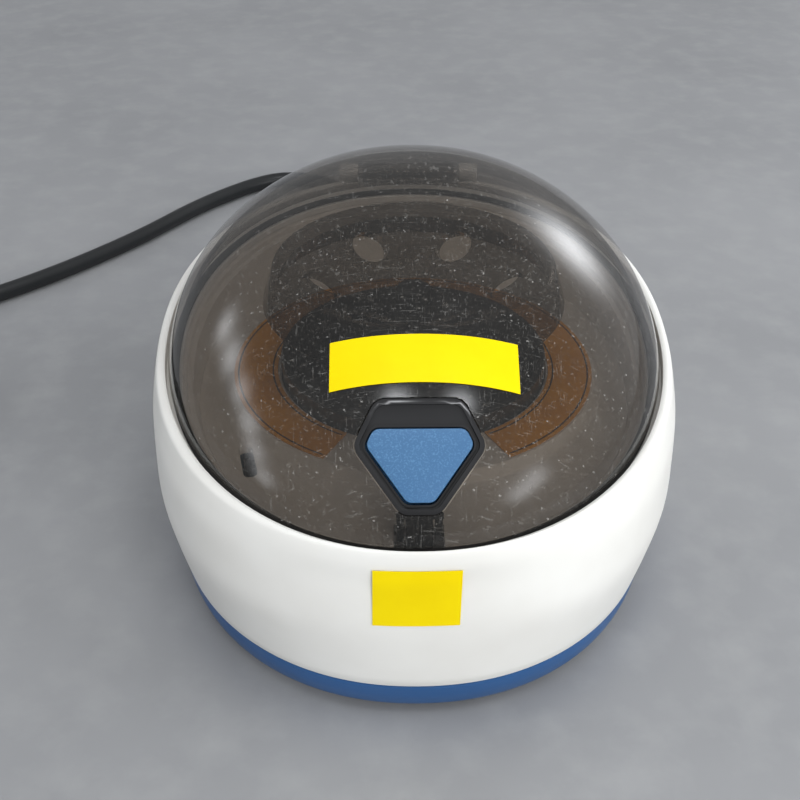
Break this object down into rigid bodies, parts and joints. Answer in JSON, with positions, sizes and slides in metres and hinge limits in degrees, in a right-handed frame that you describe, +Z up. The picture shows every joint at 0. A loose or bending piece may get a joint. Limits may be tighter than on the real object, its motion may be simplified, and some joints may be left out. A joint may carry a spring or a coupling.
{
  "type": "mini centrifuge",
  "caption": "Mini centrifuge: egg-shaped housing, smoked domed lid with a push-button latch, smoked angled rotor for small tubes, rocker switch and mains lead.",
  "frame": {"origin": "on the bench under the centre of the housing, where the feet stand", "axes": "+X to the user's right, +Y towards the hinge and the mains lead, +Z up; the latch button faces -Y"},
  "size_m": [0.3418, 0.3573, 0.1152],
  "materials": {
    "white_abs": "satin",
    "blue_abs": "satin",
    "button_blue": "pearl",
    "smoked_clear": "clear gloss",
    "rotor_smoke": "translucent gloss",
    "black_plastic": "gloss",
    "rubber": "matte",
    "yellow_tape": "satin",
    "amber_label": "satin",
    "steel": "bright",
    "board": "lacquered"
  },
  "bodies": {
    "housing": {"base_pan": "blue_abs", "upper_shell": "white_abs", "chamber_deck": "white_abs", "well_cup": "black_plastic", "lid_seal": "rubber", "warning_band": "amber_label", "body_tape": "yellow_tape", "foot_1": "rubber", "foot_2": "rubber", "foot_3": "rubber", "foot_4": "rubber", "base_screw_1": "steel", "base_screw_2": "steel", "base_screw_3": "steel", "base_screw_4": "steel", "latch_catch": "steel", "hinge_pin": "steel", "motor_can": "steel", "motor_cap": "black_plastic", "motor_mount": "rubber", "upper_bearing": "steel", "lower_bearing": "steel", "transformer": "steel", "control_board": "board", "capacitor": "black_plastic", "heat_sink": "steel", "interlock_switch": "black_plastic", "switch_frame": "black_plastic", "strain_relief": "black_plastic", "cord": "black_plastic", "cord_coil": "black_plastic", "cord_tail": "black_plastic", "plug_body": "black_plastic", "plug_pin_left": "steel", "plug_pin_right": "steel"},
    "lid": {"lid_dome": "smoked_clear", "button_housing": "black_plastic", "spring_bracket": "black_plastic", "latch_pin": "steel", "lid_tape": "yellow_tape", "button_spring": "steel"},
    "button": {"press_button": "button_blue"},
    "hook": {"latch_hook": "black_plastic"},
    "spinner": {"rotor": "rotor_smoke", "rotor_knob": "black_plastic", "motor_shaft": "steel", "motor_armature": "steel"},
    "rocker": {"power_rocker": "black_plastic"},
    "plunger": {"interlock_plunger": "black_plastic"}
  },
  "joints": [
    {"name": "lid_hinge", "type": "hinge", "parent": "housing", "child": "lid", "pos_m": [0, 0.085, 0.0845], "axis": [-1, 0, 0], "range_deg": [0, 80], "deforming": ["latch_catch"]},
    {"name": "button_press", "type": "slide", "parent": "lid", "child": "button", "axis": [0, 0.766, -0.6428], "range_m": [0, 0.0025], "stiffness_N_per_m": 400, "springref_m": -0.002, "deforming": ["button_spring"]},
    {"name": "latch_pivot", "type": "hinge", "parent": "lid", "child": "hook", "pos_m": [0, -0.0771, 0.0591], "axis": [-1, 0, 0], "range_deg": [0, 12.1]},
    {"name": "rotor_spin", "type": "hinge", "parent": "housing", "child": "spinner", "pos_m": [0, 0, 0.08], "axis": [0, 0, 1], "continuous": true},
    {"name": "power_switch", "type": "hinge", "parent": "housing", "child": "rocker", "pos_m": [0.012, 0.0842, 0.0295], "axis": [1, 0, 0], "range_deg": [0, 18]},
    {"name": "interlock", "type": "slide", "parent": "housing", "child": "plunger", "axis": [0, 0, -1], "range_m": [0, 0.003], "stiffness_N_per_m": 300, "springref_m": -0.001}
  ],
  "couplings": [
    {"joint": "latch_pivot", "follows": "button_press", "rad_per_m": 83.3}
  ]
}
